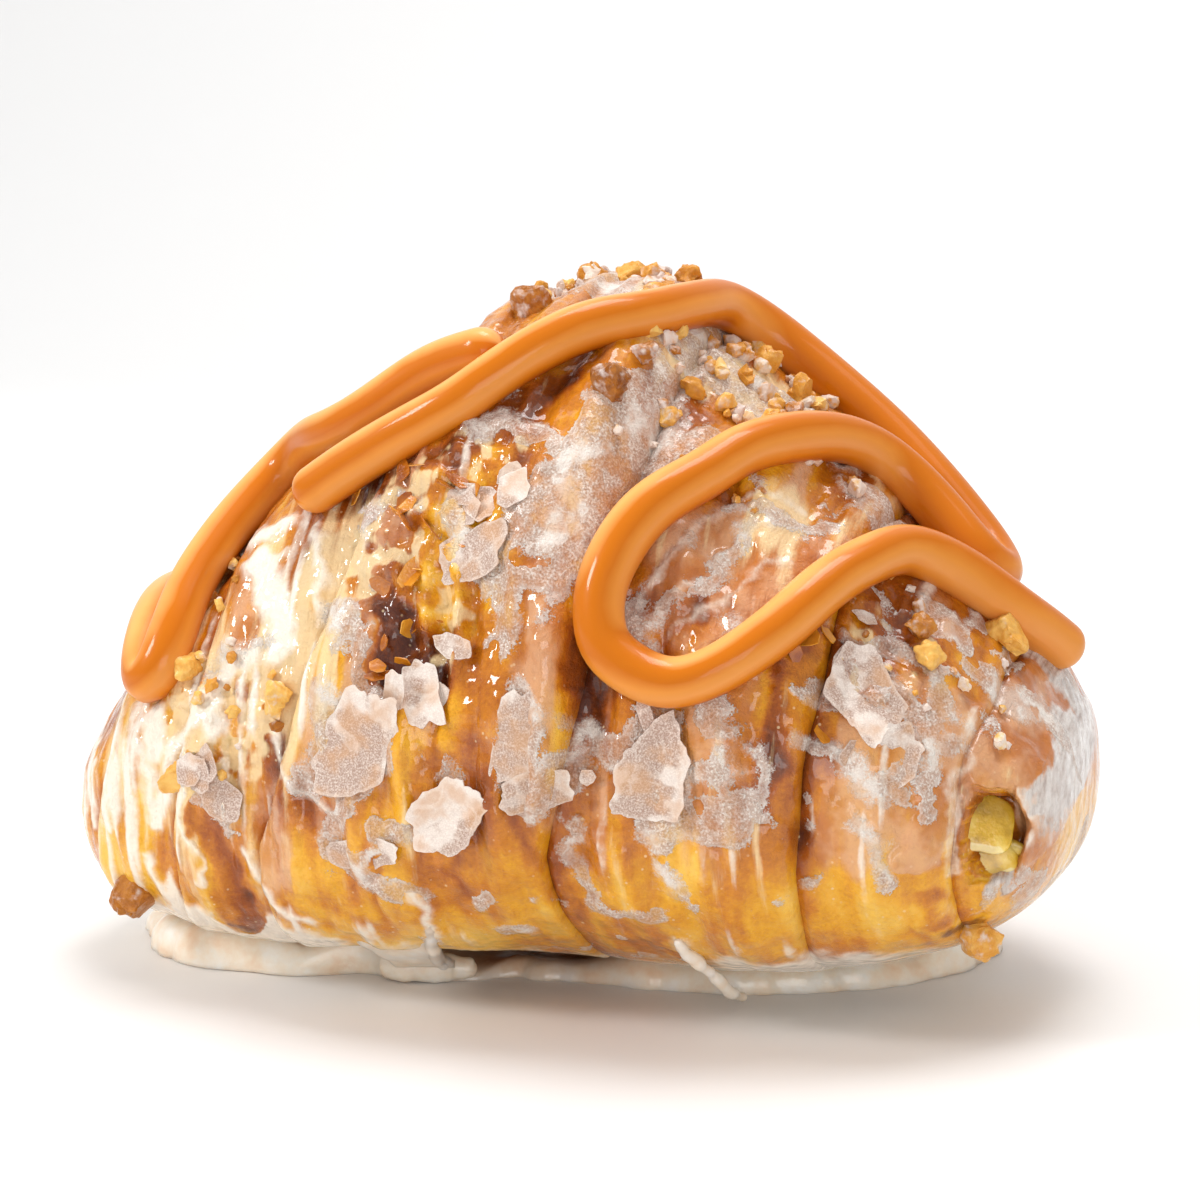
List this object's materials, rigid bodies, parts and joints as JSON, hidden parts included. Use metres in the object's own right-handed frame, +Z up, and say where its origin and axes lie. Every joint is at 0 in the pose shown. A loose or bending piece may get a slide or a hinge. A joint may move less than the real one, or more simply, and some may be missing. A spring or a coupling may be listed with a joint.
{
  "type": "pear walnut croissant",
  "caption": "Tall filled croissant with stepped bands, piped caramel loops, walnut crumbs and set white glaze, pear filling showing at one end, standing in a thin pool of glaze.",
  "frame": {"origin": "middle of the bounding box, on the surface that the croissant stands on", "axes": "+X along the roll towards the end where the filling shows, -Y towards the shown side, +Z up"},
  "size_m": [0.123, 0.0882, 0.0856],
  "materials": {
    "crust": "satin",
    "pear": "satin",
    "glaze": "satin",
    "caramel": "gloss",
    "walnut": "satin"
  },
  "bodies": {
    "root": {"croissant": "crust", "pear_filling": "pear", "glaze_pool": "glaze"}
  },
  "joints": []
}
